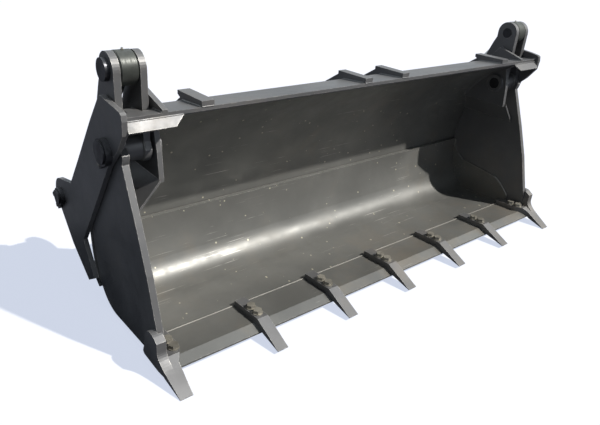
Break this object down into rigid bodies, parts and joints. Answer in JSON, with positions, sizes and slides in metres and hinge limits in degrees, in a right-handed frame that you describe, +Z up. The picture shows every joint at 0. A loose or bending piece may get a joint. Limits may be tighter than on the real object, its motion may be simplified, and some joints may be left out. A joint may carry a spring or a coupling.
{
  "type": "four in one bucket",
  "caption": "Loader bucket whose clam of floor, sides and toothed edge swings open from a curved rear blade on end hinges, driven by a hydraulic cylinder at each end.",
  "frame": {"origin": "on the ground under the middle of the part's box, the bucket closed and resting on its corner teeth and heel strips", "axes": "+X across the bucket to the right of someone who faces its mouth, +Y to the rear, away from the teeth, +Z up"},
  "size_m": [2.626, 1.1337, 1.145],
  "materials": {
    "frame_paint": "semi-gloss graphite paint",
    "blade_paint": "semi-gloss graphite paint with light scratches",
    "shell_paint": "semi-gloss graphite paint with light scratches",
    "clam_paint": "semi-gloss graphite paint",
    "edge_paint": "semi-gloss graphite paint with bright worn edges",
    "tooth_paint": "semi-gloss graphite paint with bright worn edges",
    "wear_steel": "graphite paint, scuffed",
    "bolt_steel": "yellowish plated steel, grimy",
    "pin_steel": "grey-green steel, lightly oiled",
    "barrel_paint": "semi-gloss graphite paint",
    "gland_steel": "machined steel",
    "rod_chrome": "hard chrome rod",
    "eye_steel": "grey-green steel, lightly oiled"
  },
  "bodies": {
    "frame": {"blade": "blade_paint", "top_beam": "frame_paint", "dozer_edge": "frame_paint", "cross_tube": "frame_paint", "end_plate_left": "frame_paint", "end_plate_right": "frame_paint", "cheek_left": "frame_paint", "cheek_right": "frame_paint", "end_deck_left": "frame_paint", "end_deck_right": "frame_paint", "hood_left": "frame_paint", "hood_right": "frame_paint", "hinge_guard_left": "frame_paint", "hinge_guard_right": "frame_paint", "side_rib_left": "frame_paint", "side_rib_right": "frame_paint", "tilt_ear_left": "frame_paint", "tilt_ear_right": "frame_paint", "arm_ears_left": "frame_paint", "arm_ears_right": "frame_paint", "pivot_pin_left": "pin_steel", "pivot_pin_right": "pin_steel", "base_pin_left": "pin_steel", "base_pin_right": "pin_steel", "pin_bosses_left": "frame_paint", "pin_bosses_right": "frame_paint", "pin_keepers_left": "pin_steel", "pin_keepers_right": "pin_steel", "keeper_bolts": "bolt_steel"},
    "clam": {"clam_shell": "shell_paint", "cutting_edge": "edge_paint", "tooth_1": "tooth_paint", "tooth_2": "tooth_paint", "tooth_3": "tooth_paint", "tooth_4": "tooth_paint", "tooth_5": "tooth_paint", "tooth_bolts": "bolt_steel", "tooth_nuts": "bolt_steel", "wear_strips": "wear_steel", "side_plate_left": "clam_paint", "side_plate_right": "clam_paint", "inner_ear_left": "clam_paint", "inner_ear_right": "clam_paint", "hub_tube_left": "clam_paint", "hub_tube_right": "clam_paint", "side_liner_left": "shell_paint", "side_liner_right": "shell_paint", "corner_tooth_left": "tooth_paint", "corner_tooth_right": "tooth_paint", "lever_pin_left": "pin_steel", "lever_pin_right": "pin_steel"},
    "cylinder_left": {"barrel_left": "barrel_paint", "gland_left": "gland_steel"},
    "rod_left": {"rod_left": "rod_chrome", "rod_eye_left": "eye_steel"},
    "cylinder_right": {"barrel_right": "barrel_paint", "gland_right": "gland_steel"},
    "rod_right": {"rod_right": "rod_chrome", "rod_eye_right": "eye_steel"}
  },
  "joints": [
    {"name": "clam_hinge", "type": "hinge", "parent": "frame", "child": "clam", "pos_m": [0, -0.086, 0.8], "axis": [-1, 0, 0], "range_deg": [0, 50]},
    {"name": "base_pivot_left", "type": "hinge", "parent": "frame", "child": "cylinder_left", "pos_m": [-1.195, 0.484, 0.388], "axis": [-1, 0, 0], "range_deg": [0, 9]},
    {"name": "rod_slide_left", "type": "slide", "parent": "cylinder_left", "child": "rod_left", "axis": [0, 0.6228, -0.7824], "range_m": [0, 0.21]},
    {"name": "base_pivot_right", "type": "hinge", "parent": "frame", "child": "cylinder_right", "pos_m": [1.195, 0.484, 0.388], "axis": [-1, 0, 0], "range_deg": [0, 9]},
    {"name": "rod_slide_right", "type": "slide", "parent": "cylinder_right", "child": "rod_right", "axis": [0, 0.6228, -0.7824], "range_m": [0, 0.21]}
  ],
  "couplings": [
    {"joint": "base_pivot_left", "follows": "clam_hinge", "ratio": 0.179},
    {"joint": "rod_slide_left", "follows": "clam_hinge", "m_per_rad": 0.2372},
    {"joint": "base_pivot_right", "follows": "clam_hinge", "ratio": 0.179},
    {"joint": "rod_slide_right", "follows": "clam_hinge", "m_per_rad": 0.2372}
  ]
}
